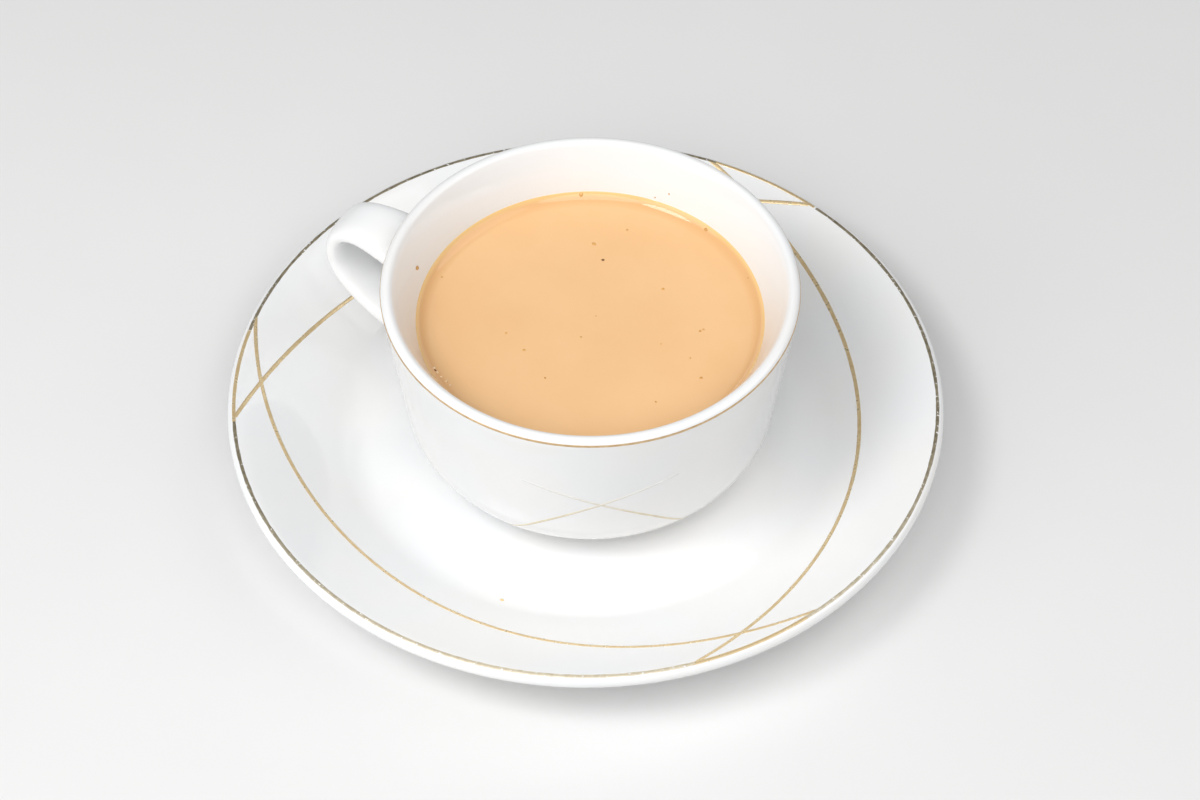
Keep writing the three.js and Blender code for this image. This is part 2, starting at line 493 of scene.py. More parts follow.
# %% [markdown]
# ## Cup body
# The body is turned too: a foot ring, a round shoulder, a nearly upright side, a rounded lip, and
# an inside that stands upright at the bottom and flares towards the lip. The wall is thick below
# and thin at the lip, as on cups that have to keep tea warm.

# %% Cup walls
lip_thickness = 2.9 * mm
lip_crown = 1.2 * mm
wall_taper = math.radians(7.2)
shoulder_top = 20.1 * mm
shoulder_radius = 13.5 * mm
cavity_floor = 12.5 * mm
cavity_radius = 33.6 * mm
cavity_fillet = 10.0 * mm
cavity_bend = 40.5 * mm

lip_base = cup_top - lip_crown
lip_centre = (lip_radius - lip_thickness / 2, lip_base)
side_bottom = lip_radius - (lip_base - shoulder_top) * math.tan(wall_taper)
shoulder_centre = (
    side_bottom - shoulder_radius * math.cos(wall_taper),
    shoulder_top + shoulder_radius * math.sin(wall_taper),
)


def outside_radius(height):
    """The cup's outer radius at a height, on the side or on the shoulder"""
    if height >= shoulder_top:
        return lip_radius - (lip_base - height) * math.tan(wall_taper)
    below = min(shoulder_centre[1] - height, shoulder_radius)
    return shoulder_centre[0] + math.sqrt(shoulder_radius**2 - below**2)


def inside_wall(steps):
    """The inside from its lower fillet up to the lip, one smooth curve"""
    start = np.array((cavity_radius, cavity_floor + cavity_fillet))
    control = np.array((cavity_radius, cavity_bend))
    end = np.array((lip_centre[0] - lip_thickness / 2, lip_base))
    shares = np.linspace(0, 1, steps + 1)
    return [tuple((1 - t) ** 2 * start + 2 * t * (1 - t) * control + t**2 * end) for t in shares]


wall = inside_wall(36)
wall_at_tea = outside_radius(tea_level) - radius_on(wall, tea_level)
print(f"the cup's wall is {wall_at_tea / mm:.1f} mm thick at the tea")

# %% [markdown]
# Where the lip's inner curve meets the flare, a corner would catch the light as a hard line. The
# inside is therefore eased along its whole length, but only little by little from the crown of the
# lip on, so that the lip keeps its full height.

# %% Cup body
cup_foot_outside, cup_foot_inside = 25.0 * mm, 21.6 * mm
cup_foot_recess = 1.7 * mm
cup_foot_draft = 0.5 * mm
foot_fillet = 0.4 * mm
shoulder_start = shoulder_centre[1] - shoulder_radius
shoulder_lead = 0.8 * mm
shoulder_first_angle = -86
inside_points = 240
crown_points = 14
easing_passes = 90

cup_foot = rounded([
    (0, cup_bottom + cup_foot_recess, 0),
    (cup_foot_inside - cup_foot_draft, cup_bottom + cup_foot_recess, foot_fillet),
    (cup_foot_inside, cup_bottom, foot_rounding),
    (cup_foot_outside, cup_bottom, foot_rounding),
    (shoulder_centre[0], shoulder_start, foot_fillet),
    (shoulder_centre[0] + shoulder_lead, shoulder_start, 0),
])
lip_inside = arc(lip_centre, lip_thickness / 2, lip_crown, 90, 180, steps=40)
sharp_inside = evenly(lip_inside + inside_wall(60)[::-1][1:], inside_points)
soft_inside = softened(sharp_inside, easing_passes)
ease_in = np.clip(np.arange(inside_points) / crown_points, 0, 1)[:, None]
soft_inside = sharp_inside + ease_in * (soft_inside - sharp_inside)
fillet_centre = (cavity_radius - cavity_fillet, cavity_floor + cavity_fillet)
taper_degrees = math.degrees(wall_taper)
cup_profile = (
    cup_foot[:-1]
    + arc(shoulder_centre, shoulder_radius, shoulder_radius, shoulder_first_angle, -taper_degrees, 28)
    + arc(lip_centre, lip_thickness / 2, lip_crown, 0, 90, steps=20)
    + [tuple(point) for point in soft_inside[1::2]]
    + arc(fillet_centre, cavity_fillet, cavity_fillet, 0, -90, steps=20)[1:]
    + [(0, cavity_floor)]
)
cup = turned("cup_porcelain", spaced(cup_profile), cup_axis, cup_glaze)
print("cup body", len(cup.data.polygons), "faces")

# %% [markdown]
# ## Handle
# The handle is a broad strap, pulled wide at both joints and narrow at its outer bend. Curve to
# Mesh can sweep one section, but here width and thickness change separately and the ends have to
# flow into the wall, so the rings of the sweep are worked out directly. Near the wall each point
# is pushed out along a quarter circle, which makes the clay fillet that a potter smooths in with a
# wet finger.

# %% Handle sizes
strap_thickness = 4.0 * mm
strap_fillet = 3.0 * mm
strap_roundness = 0.7
strap_joint = 9 * mm
# The strap's middle line from the upper joint to the lower one, in millimetres: out from the
# cup's axis, and up from the table
strap_line = [
    (39.2, 42.2), (45.4, 43.3), (50.1, 44.2), (54.4, 44.2), (57.9, 42.3), (59.5, 38.1),
    (58.9, 33.3), (56.0, 29.0), (51.7, 25.7), (47.0, 23.5), (36.6, 20.7),
]
# The strap's width in millimetres at shares of its length
strap_width_at = [0.0, 0.12, 0.3, 0.5, 0.75, 0.9, 1.0]
strap_widths = [16.6, 14.3, 11.1, 10.4, 12.4, 15.0, 16.2]
line_points = 160
line_easing, width_easing = 14, 160
joint_rings, middle_rings = 56, 58
section_points = 48
# The flare stops just short of a full quarter circle, where it would stand upright
fullest_flare = 0.999


# %% One ring of the strap
def strap_point(middle, tangent, half_width, angle):
    """One point of the strap's section, pushed out by the fillet where it nears the wall"""
    half_thickness = strap_thickness / 2
    c, s = math.cos(angle), math.sin(angle)
    across = half_width * math.copysign(abs(c) ** strap_roundness, c)
    outward = half_thickness * math.copysign(abs(s) ** strap_roundness, s)
    power = 2 / strap_roundness - 1
    push = np.array((
        math.copysign(abs(across / half_width) ** power / half_width, c),
        math.copysign(abs(outward / half_thickness) ** power / half_thickness, s),
    ))
    push /= np.linalg.norm(push)
    distance = middle[0] - tangent[1] * outward
    height = middle[1] + tangent[0] * outward
    from_wall = math.hypot(distance, across) - outside_radius(height)
    depth = min(max(strap_fillet - from_wall, 0), strap_fillet * fullest_flare)
    flare = strap_fillet - math.sqrt(strap_fillet**2 - depth**2)
    across += flare * push[0]
    outward += flare * push[1]
    distance = middle[0] - tangent[1] * outward
    height = middle[1] + tangent[0] * outward
    return cup_axis + Vector((-distance, across, height))


# %% Rings along the strap
def through(points, steps=16):
    """A smooth curve through the given points"""
    points = np.array([points[0], *points, points[-1]], float)
    line = []
    for a, b, c, d in zip(points, points[1:], points[2:], points[3:]):
        for t in np.linspace(0, 1, steps, endpoint=False):
            bend = (2 * a - 5 * b + 4 * c - d) * t**2 + (3 * b - a - 3 * c + d) * t**3
            line.append(0.5 * (2 * b + (c - a) * t + bend))
    return np.array([*line, points[-1]])


def strap_rings():
    """Rings of points along the strap, close together near both joints"""
    line = softened(evenly(through(strap_line), line_points), line_easing) * mm
    lengths = run_lengths(line)
    total = lengths[-1]
    stops = np.r_[
        np.linspace(0, strap_joint, joint_rings),
        np.linspace(strap_joint, total - strap_joint, middle_rings + 2)[1:-1],
        np.linspace(total - strap_joint, total, joint_rings),
    ]
    tangents = np.gradient(line, axis=0)
    widths = np.column_stack([strap_width_at, strap_widths])
    widths = softened(evenly(widths, line_points), width_easing)
    angles = np.linspace(0, 2 * math.pi, section_points, endpoint=False)
    rings = []
    for stop in stops:
        middle = [np.interp(stop, lengths, line[:, k]) for k in (0, 1)]
        tangent = np.array([np.interp(stop, lengths, tangents[:, k]) for k in (0, 1)])
        tangent /= np.linalg.norm(tangent)
        half_width = np.interp(stop / total, widths[:, 0], widths[:, 1]) * mm / 2
        rings.append([strap_point(middle, tangent, half_width, angle) for angle in angles])
    return rings


# %% The strap's skin
def lofted(name, rings, material):
    """A closed body through rings of points, its two ends capped"""
    sides = len(rings[0])
    faces = [
        (
            ring * sides + side,
            (ring + 1) * sides + side,
            (ring + 1) * sides + (side + 1) % sides,
            ring * sides + (side + 1) % sides,
        )
        for ring in range(len(rings) - 1)
        for side in range(sides)
    ]
    last = (len(rings) - 1) * sides
    faces += [tuple(range(sides)), tuple(last + side for side in reversed(range(sides)))]
    mesh = bpy.data.meshes.new(name)
    mesh.from_pydata([tuple(point) for ring in rings for point in ring], [], faces)
    mesh.materials.append(material)
    mesh.polygons.foreach_set("use_smooth", [True] * len(faces))
    return put(name, mesh)


strap = lofted("strap", strap_rings(), cup_glaze)
print("strap", len(strap.data.polygons), "faces")

# %% [markdown]
# The body and the handle are one piece of clay. A union makes them one closed skin, where two
# meshes pushed into each other would only look like one.

# %% Join the handle to the cup
def volume(mesh):
    """The volume that a closed mesh encloses, negative if its faces point inwards"""
    mesh.calc_loop_triangles()
    corners = np.array([[mesh.vertices[i].co for i in t.vertices] for t in mesh.loop_triangles])
    return np.einsum("ij,ij->i", corners[:, 0], np.cross(corners[:, 1], corners[:, 2])).sum() / 6


def unite(piece, other):
    """Joins two closed bodies into one and removes the second"""
    modifier = piece.modifiers.new("union", "BOOLEAN")
    modifier.operation = "UNION"
    modifier.solver = "MANIFOLD"
    modifier.object = other
    depsgraph = bpy.context.evaluated_depsgraph_get()
    united = bpy.data.meshes.new_from_object(piece.evaluated_get(depsgraph))
    piece.modifiers.clear()
    piece.data = united
    bpy.data.objects.remove(other)


print(f"body {volume(cup.data) * 1e6:.1f} cm3, strap {volume(strap.data) * 1e6:.2f} cm3")
unite(cup, strap)
print(f"both as one {volume(cup.data) * 1e6:.1f} cm3")

# %% [markdown]
# ## Tea with milk
# The tea fills the inside and reaches a hair into the glaze, so no air gap shows. Its surface is
# flat in the middle and climbs the wall, as a liquid does that wets its cup. How far it climbs and
# how soon that dies away follow from one length, at which weight and surface tension balance. Milk
# makes the tea opaque: a warm peach, with faint clouds where milk and tea have not quite mixed. A
# band where it climbs is painted deeper: partly its own tone, partly painted shade from the wall. It
# is yellow at the very edge, where light gets through.

# %% The climbing surface
capillary_length = 2.26 * mm
slope_at_wall = 65.0


def climbing(steepness):
    """Where the climbing surface has a slope: its distance from a fixed line, and its height"""
    half = math.radians(steepness) / 2
    reach = capillary_length * (math.acosh(1 / math.sin(half)) - 2 * math.cos(half))
    return reach, 2 * capillary_length * math.sin(half)


level_margin = 0.05 * mm
climb_top = tea_level - level_margin
wall_reach, climb_height = climbing(slope_at_wall)
flat_level = climb_top - climb_height
tea_radius = radius_on(wall, climb_top)
print(f"tea {2 * tea_radius / mm:.1f} mm across, flat at {flat_level / mm:.1f} mm")
print(f"it climbs the wall by {climb_height / mm:.1f} mm")

# %% Tea finish
tea_light = (0.86, 0.545, 0.282)
tea_deep = (0.84, 0.520, 0.260)
# The deeper tone of the band where the tea climbs: partly its own tone, partly painted shade from the
# wall
tea_climb_shade = (0.81, 0.475, 0.22)
tea_edge = (0.91, 0.62, 0.27)
tea_rough = 0.05
tea_ior = 1.45
cloud_waves, ripple_waves = 70, 60
# How far in from the tea's edge the deeper band, partly painted shade, and the yellow tone start, and
# where they are full
climb_shade_band = (2.8 * mm, 1.4 * mm)
thin_band = (0.8 * mm, 0.1 * mm)


def tea_material():
    """Opaque milky tea, deeper where it climbs, partly with painted shade, and yellower where it thins
    out at the wall
    """
    material, tree, shader, place = new_material("milky_tea")
    clouds = between(tree, noise(tree, place, cloud_waves, 3.0), 0.35, 0.7)
    body = mixed(tree, clouds, tea_light, tea_deep)
    offset = vectors(tree, "ADD", {0: place, 1: tuple(-cup_axis)})[0]
    flat = vectors(tree, "MULTIPLY", {0: offset, 1: (1, 1, 0)})[0]
    from_axis = vectors(tree, "LENGTH", {0: flat})["Value"]
    # The band where the tea climbs, painted deeper, partly as painted shade
    climbed_shade = between(tree, from_axis, *(tea_radius - inset for inset in climb_shade_band))
    thin = between(tree, from_axis, *(tea_radius - inset for inset in thin_band))
    tone = mixed(tree, thin, mixed(tree, climbed_shade, body, tea_climb_shade), tea_edge)
    ripples = bump(tree, noise(tree, place, ripple_waves, 1.0), strength=0.05, depth=0.1 * mm)
    wire(tree, shader, {"Base Color": tone, "Normal": ripples, "Roughness": tea_rough, "IOR": tea_ior})
    return material


# %% Tea
wetting = 0.25 * mm
corner_gap = 0.3 * mm
flattest_slope = 0.5
climb_rings, flat_rings = 60, 20
tea_fillet = cavity_fillet + wetting
tea_bottom = arc(fillet_centre, tea_fillet, tea_fillet, -90, 0, steps=20)
wetted = [(radius, height) for radius, height in wall if height < climb_top - corner_gap]
tea_wall = [(radius + wetting, height) for radius, height in [*wetted, (tea_radius, climb_top)]]
slopes = np.geomspace(slope_at_wall, flattest_slope, climb_rings)
climb = [climbing(steepness) for steepness in slopes]
surface = [(tea_radius - (reach - wall_reach), flat_level + height) for reach, height in climb]
surface += [(radius, flat_level) for radius in np.linspace(surface[-1][0] - 1 * mm, 0, flat_rings)]
tea_profile = [(0, cavity_floor - wetting)] + tea_bottom + tea_wall[1:] + surface
tea = turned("tea_with_milk", tea_profile, cup_axis, tea_material())
print(f"tea {volume(tea.data) * 1e6:.0f} ml")

# %% [markdown]
# ## Gilding
# Liquid gold is brushed on as hair-thin lines: one round each rim, three wide arcs across the
# saucer's side that cross near its rim, and three arches round the cup's wall. A texture could
# paint them, but a line of real metal keeps its edge from close by. A Geometry Nodes tree sweeps a
# flat section along a drawn line and lays each of its points on the nearest porcelain, so the line
# follows every form. Its width wavers a little with a fixed noise, as a brush line does.

# %% The gilding tree: the drawn line on the glaze
gilder, given = new_tree("Gilder", {
    "Surface": "Object", "Width": "Float", "Thickness": "Float", "Waver": "Float", "Seed": "Float",
    "Material": "Material",
})
position = add(gilder, "GeometryNodeInputPosition").outputs[0]
normal = add(gilder, "GeometryNodeInputNormal").outputs[0]
pottery = add(gilder, "GeometryNodeObjectInfo", {"Object": given["Surface"]}).outputs["Geometry"]


def nearest_on_pottery(value):
    """What the porcelain has where it is nearest to each point of the line"""
    return add(gilder, "GeometryNodeSampleNearestSurface", {
        "Mesh": pottery, "Value": value, "Sample Position": position,
    }, data_type="FLOAT_VECTOR").outputs["Value"]


glaze_point = nearest_on_pottery(position)
glaze_facing = nearest_on_pottery(normal)
drawn = add(gilder, "GeometryNodeSetPosition", {"Geometry": given["Geometry"], "Position": glaze_point})
stroke = add(gilder, "GeometryNodeMeshToCurve", {"Mesh": drawn.outputs[0]}).outputs[0]
facing = add(gilder, "GeometryNodeSetCurveNormal", {
    "Curve": stroke, "Normal": glaze_facing,
}, mode="FREE").outputs[0]

# %% The gilding tree: the brushed line
section_sides = 10
waver_scale = 380.0
circle = add(gilder, "GeometryNodeCurvePrimitiveCircle", {
    "Resolution": section_sides, "Radius": 1.0,
}).outputs[0]
section_size = add(gilder, "ShaderNodeCombineXYZ", {
    "X": sums(gilder, "DIVIDE", given["Thickness"], 2),
    "Y": sums(gilder, "DIVIDE", given["Width"], 2),
    "Z": 1.0,
}).outputs[0]
flat_section = add(gilder, "GeometryNodeTransform", {
    "Geometry": circle, "Scale": section_size,
}).outputs[0]
lift = add(gilder, "ShaderNodeSeparateXYZ", {0: position}).outputs["X"]
section = add(gilder, "GeometryNodeStoreNamedAttribute", {
    "Geometry": flat_section, "Name": "lift", "Value": lift,
}, data_type="FLOAT", domain="POINT").outputs[0]
unsteady = add(gilder, "ShaderNodeTexNoise", {
    "Vector": position, "W": given["Seed"], "Scale": waver_scale, "Detail": 2.0,
}, noise_dimensions="4D").outputs["Fac"]
swing = sums(gilder, "MULTIPLY", sums(gilder, "SUBTRACT", unsteady, 0.5), given["Waver"])
swept = add(gilder, "GeometryNodeCurveToMesh", {
    "Curve": facing,
    "Profile Curve": section,
    "Scale": sums(gilder, "ADD", swing, 1.0),
    "Fill Caps": True,
}).outputs[0]
kept_lift = add(gilder, "GeometryNodeInputNamedAttribute", {"Name": "lift"}, data_type="FLOAT")
raised = vectors(gilder, "SCALE", {0: glaze_facing, "Scale": kept_lift.outputs["Attribute"]})[0]
resting = vectors(gilder, "ADD", {0: glaze_point, 1: raised})[0]
laid = add(gilder, "GeometryNodeSetPosition", {"Geometry": swept, "Position": resting}).outputs[0]
finish_tree(gilder, laid, given["Material"])

# %% [markdown]
# The gold has aged in different ways. The arcs on the saucer are bright. Its rim, touched by hands
# and washing, has gone dull and olive brown. Towards the front it is paler. The line round the
# cup's rim is redder. On the cup's wall the gold is a faint warm trace, painted fading into the
# glaze's colour towards the lip: a painted reflection of the bright saucer, which hides it there.
# All of them miss little chips, down to the white glaze. One function makes these finishes, with a
# fade along a direction where one is needed.

# %% Gold finishes
tarnish_waves, chip_waves, bristle_waves = 700, 1500, 2500
chip_edge = 0.03
duller = 0.15


def gold(name, tones, metallic, chips, rough, fade=None):
    """Burnt-on gold between two tones. chips is the share that is missing. fade gives a direction,
    where along it the change starts and ends, and the two tones that it ends in"""
    material, tree, shader, place = new_material(name)
    tone = between(tree, noise(tree, place, tarnish_waves, 3.0), 0.35, 0.65)
    film = mixed(tree, tone, *tones)
    if fade:
        direction, start, end, late_tones = fade
        along = vectors(tree, "DOT_PRODUCT", {0: place, 1: direction})["Value"]
        film = mixed(tree, between(tree, along, start, end), film, mixed(tree, tone, *late_tones))
    film_edge = 1.0 - chips
    missing = between(tree, noise(tree, place, chip_waves), film_edge, film_edge + chip_edge)
    wire(tree, shader, {
        "Base Color": mixed(tree, missing, film, glaze_warm),
        "Metallic": between(tree, missing, 0, 1, metallic, 0.0),
        "Roughness": between(tree, tone, 0, 1, rough, rough + duller),
        "Normal": bump(tree, noise(tree, place, bristle_waves), strength=0.3, depth=0.02 * mm),
    })
    return material


def level_direction(bearing):
    """A level direction from its bearing in degrees"""
    return (math.cos(math.radians(bearing)), math.sin(math.radians(bearing)), 0)


bright_tones = ((0.94, 0.75, 0.45), (0.84, 0.63, 0.34))
bright_gold = gold("bright_gold", bright_tones, metallic=0.55, chips=0.20, rough=0.25)

worn_tones = ((0.37, 0.32, 0.22), (0.21, 0.18, 0.12))
pale_tones = ((0.82, 0.74, 0.57), (0.68, 0.59, 0.43))
# The rim's gold turns paler towards the front, along this direction
pale_front = (level_direction(-58), 20 * mm, 68 * mm, pale_tones)
worn_gold = gold("worn_gold", worn_tones, metallic=0.4, chips=0.36, rough=0.35, fade=pale_front)

fine_tones = ((0.74, 0.54, 0.32), (0.62, 0.42, 0.22))
fine_gold = gold("fine_gold", fine_tones, metallic=0.6, chips=0.30, rough=0.30)

trace_tones = ((0.80, 0.71, 0.52), (0.72, 0.62, 0.46))
# Painted reflection: towards the lip the cup's gold fades into the glaze's colour, standing in for the
# bright saucer mirrored in it
upwards = (0, 0, 1)
painted_reflection_fade = (upwards, 25 * mm, 36 * mm, (glaze_cold, glaze_warm))
trace_gold = gold("trace_gold", trace_tones, metallic=0.1, chips=0.32, rough=0.12, fade=painted_reflection_fade)
print("finishes:", [material.name for material in (bright_gold, worn_gold, fine_gold, trace_gold)])

# %% [markdown]
# Each arc on the saucer runs from the rim line in towards the well and out again. Its radius is a
# short series in the angle from its middle, measured from the photograph for each of the three, as
# they were painted by hand and differ by a millimetre. Where two arcs cross, the rim line between
# them is bright too.

# %% Drawn lines on the saucer
rim_line_radius = 75.0 * mm
rim_points_per_radian = 110
fewest_rim_points = 12
arc_reach, arc_points = 75, 301
# Bearing of the arc's middle in degrees, and the series for its radius in millimetres
saucer_arcs = [
    (23.7, (58.85, -0.09, 8.18, -0.12, 1.65)),
    (143.8, (58.80, 0.0, 8.00, 0.0, 2.05)),
    (263.3, (60.12, 1.63, 8.60, -2.46, 0.45, 0.94)),
]


def series(parts, angle):
    """A series in the powers of an angle, in metres from parts in millimetres"""
    return sum(part * angle**power for power, part in enumerate(parts)) * mm


def on_saucer(bearing, radius):
    """The point on the saucer's sloping side or on its lip at a bearing and a radius"""
    beyond = radius - saucer_lip[0]
    if beyond > -lip_half * math.sin(side_slope):
        height = saucer_lip[1] + math.sqrt(lip_half**2 - beyond**2)
    else:
        height = well_height + (radius - upper_corner) * math.tan(side_slope)
    return Vector((radius * math.cos(bearing), radius * math.sin(bearing), height))


def saucer_arc(middle, parts):
    """One wide arc, from the rim line to the rim line"""
    angles = np.radians(np.linspace(-arc_reach, arc_reach, arc_points))
    inside_rim = [angle for angle in angles if series(parts, angle) <= rim_line_radius]
    return [on_saucer(middle + angle, series(parts, angle)) for angle in inside_rim]


def rim_piece(start, end):
    """Part of the rim line, between two bearings"""
    count = max(fewest_rim_points, int((end - start) * rim_points_per_radian))
    return [on_saucer(bearing, rim_line_radius) for bearing in np.linspace(start, end, count)]


# %% Gilt lines on the saucer
gilt_thickness = 0.08 * mm
rim_half_gap = math.radians(10.0)
third_turn = math.radians(120)
# Each kind of line has a width, a share by which that wavers, a first seed and a gold
arc_brush = (0.92 * mm, 0.35, 3.0, bright_gold)
bright_rim_brush = (0.85 * mm, 0.4, 13.0, bright_gold)
worn_rim_brush = (0.80 * mm, 0.9, 23.0, worn_gold)


def gilded(kind, number, piece, points, brush):
    """A gilt line laid on a piece along a drawn line"""
    name = f"{kind}_{number + 1}"
    width, waver, first_seed, material = brush
    return grow(
        name, line_mesh(name, points), gilder, Surface=piece, Width=width, Thickness=gilt_thickness,
        Waver=waver, Seed=first_seed + number, Material=material,
    )


gilding = []
for number, (middle, parts) in enumerate(saucer_arcs):
    middle = math.radians(middle)
    crossing = middle + third_turn / 2
    near = rim_piece(crossing - rim_half_gap, crossing + rim_half_gap)
    far = rim_piece(crossing + rim_half_gap, crossing + third_turn - rim_half_gap)
    gilding.append(gilded("gilt_arc", number, saucer, saucer_arc(middle, parts), arc_brush))
    gilding.append(gilded("gilt_rim_bright", number, saucer, near, bright_rim_brush))
    gilding.append(gilded("gilt_rim_worn", number, saucer, far, worn_rim_brush))
print(len(gilding), "gilt lines on the saucer")

# %% [markdown]
# The arches on the cup are alike and 120 degrees apart. The gilder lifts the brush at the handle,
# and their upper part, where the painted reflection has faded the gold into the glaze, is left out,
# so each arch is cut into the stretches that still show.

# %% Arches on the cup
arch_parts = (39.6, 0.0, -8.23, 0.0, -0.885)
arch_foot, arch_end = 10.5 * mm, 36.0 * mm
arch_reach, arch_points = 100, 401
handle_bearing = math.pi
handle_clearance = math.radians(17)
fewest_points = 20
arch_brush = (0.6 * mm, 0.5, 33.0, trace_gold)


def cup_arch(middle):
    """The stretches of one arch that are left on the cup's wall, clear of the handle"""
    stretches = [[]]
    for angle in np.radians(np.linspace(-arch_reach, arch_reach, arch_points)):
        bearing = middle + angle
        height = series(arch_parts, angle)
        from_handle = abs(math.remainder(bearing - handle_bearing, 2 * math.pi))
        if arch_foot < height < arch_end and from_handle > handle_clearance:
            reach = outside_radius(height)
            on_wall = Vector((reach * math.cos(bearing), reach * math.sin(bearing), height))
            stretches[-1].append(cup_axis + on_wall)
        elif stretches[-1]:
            stretches.append([])
    return [stretch for stretch in stretches if len(stretch) > fewest_points]


arches = [stretch for middle in (0, 120, 240) for stretch in cup_arch(math.radians(middle))]
for number, stretch in enumerate(arches):
    gilding.append(gilded("gilt_cup_arch", number, cup, stretch, arch_brush))
print("gilt lines enclose", [round(volume(line.data) * 1e9, 1) for line in gilding], "mm3")

# %% [markdown]
# The line round the cup's own rim sits on the lip's outer edge, where the glaze turns from upright
# to flat. It is a plain circle, so it needs no tree that follows a surface: it is turned on the
# wheel like the cup, as a thin lens that follows the lip's curve.

# %% Cup rim line
def lip_point(angle, lift):
    """A point on the lip's curve at an angle in degrees, lifted off the glaze"""
    a = math.radians(angle)
    normal = np.array((math.cos(a) / (lip_thickness / 2), math.sin(a) / lip_crown))
    normal /= np.linalg.norm(normal)
    return (
        lip_centre[0] + lip_thickness / 2 * math.cos(a) + lift * normal[0],
        lip_centre[1] + lip_crown * math.sin(a) + lift * normal[1],
    )


def lens(start, end, lift, steps=8):
    """A thin closed lens on the lip between two angles"""
    angles = [start + (end - start) * k / steps for k in range(steps + 1)]
    outer = [lip_point(angle, lift * math.sin(math.pi * k / steps)) for k, angle in enumerate(angles)]
    inner = [lip_point(angle, -lift) for angle in reversed(angles)]
    return outer + inner + outer[:1]


cup_line = turned("gilt_cup_rim", lens(start=-5, end=22, lift=0.04 * mm), cup_axis, fine_gold)
gilding.append(cup_line)
print(len(gilding), "gilt lines")

# %% [markdown]
# ## Specks, bubbles and splashes
# A few crumbs of tea leaf float on the surface, a few bubbles cling to its near left edge, and some
# splashes have dried on the inside wall and on the saucer. Each is placed by the pixel where the
# photograph shows it, and sits where the camera's ray through that pixel meets the piece that
# carries it. A Geometry Nodes tree puts a flattened, uneven, turned grain on every point.

# %% The grain tree
grainer, given = new_tree("Grainer", {
    "Flatness": "Float", "Lumpiness": "Float", "Seed": "Int", "Material": "Material",
})
ball = add(grainer, "GeometryNodeMeshIcoSphere", {"Radius": 1.0, "Subdivisions": 4}).outputs["Mesh"]
ball_normal = add(grainer, "GeometryNodeInputNormal").outputs[0]
uneven = add(grainer, "ShaderNodeTexNoise", {"Scale": 0.9, "Detail": 1.0}).outputs["Fac"]
push = sums(grainer, "MULTIPLY", sums(grainer, "SUBTRACT", uneven, 0.5), given["Lumpiness"])
lumps = vectors(grainer, "SCALE", {0: ball_normal, "Scale": push})[0]
grain = add(grainer, "GeometryNodeSetPosition", {"Geometry": ball, "Offset": lumps}).outputs[0]


def spot_value(name, kind):
    """A value that each spot carries"""
    carried = add(grainer, "GeometryNodeInputNamedAttribute", {"Name": name}, data_type=kind)
    return carried.outputs["Attribute"]


def chance(low, high):
    """A number for each spot, drawn from the seed"""
    wires = {2: low, 3: high, "Seed": given["Seed"]}
    return add(grainer, "FunctionNodeRandomValue", wires, data_type="FLOAT").outputs[1]


full_turn = 6.28
slimmest = 0.6
size = spot_value("size", "FLOAT")
lean = spot_value("lean", "FLOAT_VECTOR")
upright = add(grainer, "FunctionNodeAlignRotationToVector", {"Vector": lean}, axis="Z").outputs[0]
twist = add(grainer, "ShaderNodeCombineXYZ", {"Z": chance(0.0, full_turn)}).outputs[0]
twisted = add(grainer, "FunctionNodeRotateRotation", {
    0: upright, 1: twist,
}, rotation_space="LOCAL").outputs[0]
grain_size = add(grainer, "ShaderNodeCombineXYZ", {
    "X": size,
    "Y": sums(grainer, "MULTIPLY", size, chance(slimmest, 1.0)),
    "Z": sums(grainer, "MULTIPLY", size, given["Flatness"]),
}).outputs[0]
grains = add(grainer, "GeometryNodeInstanceOnPoints", {
    "Points": given["Geometry"], "Instance": grain, "Rotation": twisted, "Scale": grain_size,
}).outputs[0]
finish_tree(grainer, grains, given["Material"])


# %% Grains where the photograph shows them
def grains_on(piece, name, spots, material, flatness, lumpiness, seed):
    """Grains on a piece. Each spot is a pixel of the photograph and a radius in millimetres"""
    corners = [vertex.co for vertex in piece.data.vertices]
    faces = BVHTree.FromPolygons(corners, [face.vertices for face in piece.data.polygons])
    hits = [faces.ray_cast(camera_place, ray_through(pixel)) for pixel, _ in spots]
    places = [tuple(place) for place, *_ in hits]
    sizes = [radius * mm for _, radius in spots]
    leans = [part for _, facing, *_ in hits for part in facing]
    mesh = bpy.data.meshes.new(name)
    mesh.from_pydata(places, [], [])
    mesh.attributes.new("size", "FLOAT", "POINT").data.foreach_set("value", sizes)
    mesh.attributes.new("lean", "FLOAT_VECTOR", "POINT").data.foreach_set("vector", leans)
    return grow(
        name, mesh, grainer, Flatness=flatness, Lumpiness=lumpiness, Seed=seed, Material=material,
    )


# %% Speck finishes
crumb_waves, pit_waves = 2200, 3000


def wet_material(name, dark, light, rough=0.25):
    """A wet crumb, bubble or splash, uneven in tone"""
    material, tree, shader, place = new_material(name)
    tone = between(tree, noise(tree, place, crumb_waves, 3.0), 0.3, 0.7)
    skin = mixed(tree, tone, dark, light)
    pitted = bump(tree, noise(tree, place, pit_waves), strength=0.4, depth=0.05 * mm)
    wire(tree, shader, {"Base Color": skin, "Normal": pitted, "Roughness": rough})
    return material


leaf_dust = wet_material("leaf_dust", (0.50, 0.23, 0.06), (0.80, 0.46, 0.15))
dark_leaf = wet_material("dark_leaf", (0.10, 0.045, 0.015), (0.26, 0.12, 0.04))
bubble_skin = wet_material("bubble_skin", (0.90, 0.62, 0.36), (0.95, 0.74, 0.50), rough=0.06)
dried_tea = wet_material("dried_tea", (0.50, 0.26, 0.08), (0.66, 0.40, 0.16))
pale_drop = wet_material("pale_drop", (0.80, 0.56, 0.20), (0.90, 0.72, 0.38))

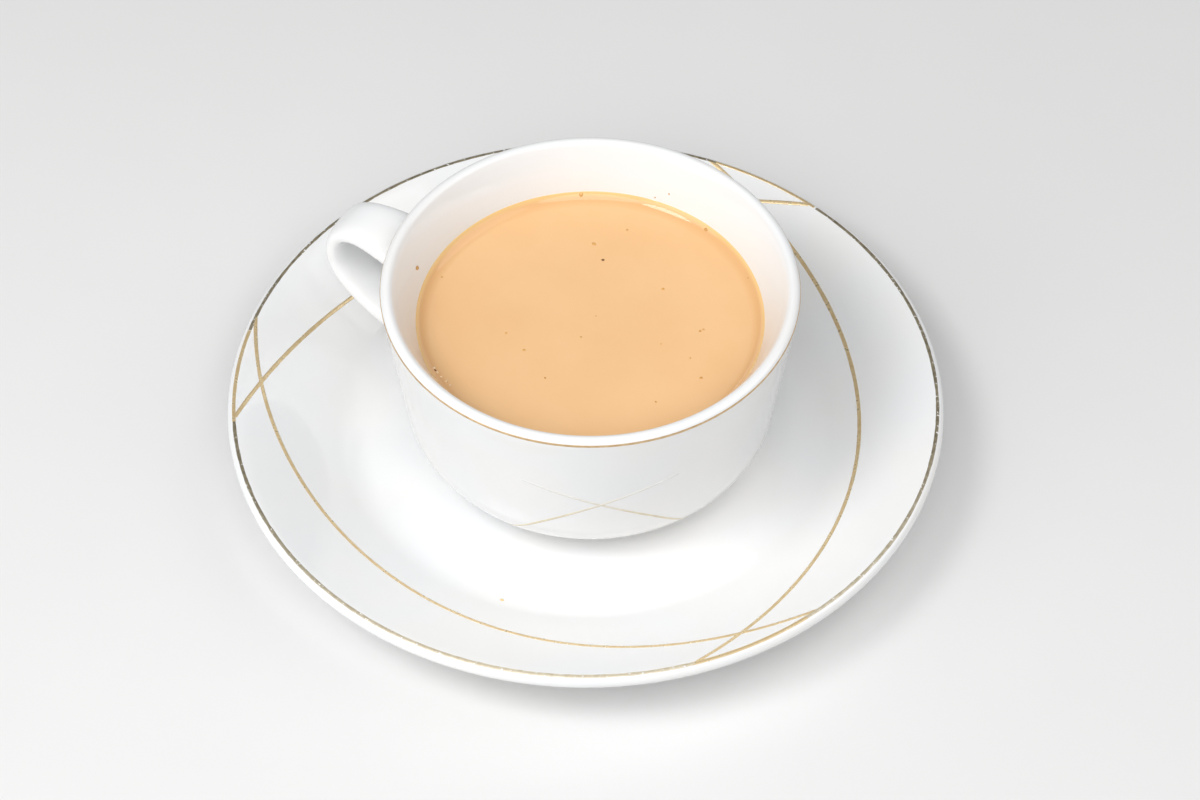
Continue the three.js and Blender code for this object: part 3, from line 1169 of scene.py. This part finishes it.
# %% Specks and bubbles on the tea
dust_spots = [
    ((594, 244), 0.47), ((581, 194.5), 0.42), ((706, 229.5), 0.42), ((627, 230), 0.28),
    ((663, 289), 0.36), ((506, 333), 0.28), ((524, 350), 0.33), ((581, 337), 0.25),
    ((700, 331), 0.30), ((703.5, 329.5), 0.27), ((545, 378), 0.28), ((701, 378), 0.38),
    ((656, 402), 0.27), ((690, 358), 0.25), ((661, 344), 0.19), ((442, 277), 0.25),
    ((748, 278), 0.22), ((596, 316), 0.18),
]
crumb_spots = [((603, 260), 0.34), ((435.4, 370.3), 0.28), ((447, 381.7), 0.22)]
bubble_spots = [
    ((434, 368), 0.30), ((437, 372.5), 0.35), ((441, 377), 0.30), ((446, 381.5), 0.35),
    ((450, 385), 0.25),
]
loose = [
    grains_on(tea, "leaf_dust", dust_spots, leaf_dust, flatness=0.35, lumpiness=0.8, seed=5),
    grains_on(tea, "leaf_crumbs", crumb_spots, dark_leaf, flatness=0.5, lumpiness=0.9, seed=6),
    grains_on(tea, "tea_bubbles", bubble_spots, bubble_skin, flatness=0.9, lumpiness=0.0, seed=7),
]
print(len(dust_spots) + len(crumb_spots), "specks and", len(bubble_spots), "bubbles")

# %% Splashes on the porcelain
cup_splashes = [((417, 268), 0.60), ((669, 194), 0.22), ((655, 197.5), 0.17)]
saucer_splashes = [((502, 600), 0.42)]
splash_lumps = 0.6
loose += [
    grains_on(cup, "dried_splashes_cup", cup_splashes, dried_tea, 0.55, splash_lumps, seed=8),
    grains_on(saucer, "dried_splash_saucer", saucer_splashes, pale_drop, 0.4, splash_lumps, seed=9),
]
print(len(cup_splashes) + len(saucer_splashes), "splashes")

# %% [markdown]
# ## Ride, replace and finish
# All pieces ride on the one body. Each smooth piece stands for the solid of the same form.

# %% Ride and replace
for piece, node, slot in (
    (saucer, "saucer", "porcelain"), (cup, "cup", "porcelain"), (tea, "tea", "milky_tea"),
):
    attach(piece, "root")
    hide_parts(node)
for piece in gilding:
    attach(piece, "root")
for piece in loose:
    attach(piece, "root")

triangles = {}
for piece in (saucer, cup, tea, *loose, *gilding):
    piece.data.calc_loop_triangles()
    triangles[piece.name] = len(piece.data.loop_triangles)
print("triangles", sum(triangles.values()), "largest", max(triangles.items(), key=lambda pair: pair[1]))

# %% Floor paint
floor_shade, floor_light = (0.80, 0.80, 0.80), (0.815, 0.815, 0.81)
floor_rough = (0.45, 0.55)
floor_paint, tree, shader, place = new_material("pale_floor")
paint = mixed(tree, noise(tree, place, 3.0), floor_shade, floor_light)
matt = between(tree, noise(tree, place, 40.0), 0.3, 0.7, *floor_rough)
wire(tree, shader, {"Base Color": paint, "Roughness": matt})
floor.data.materials.append(floor_paint)
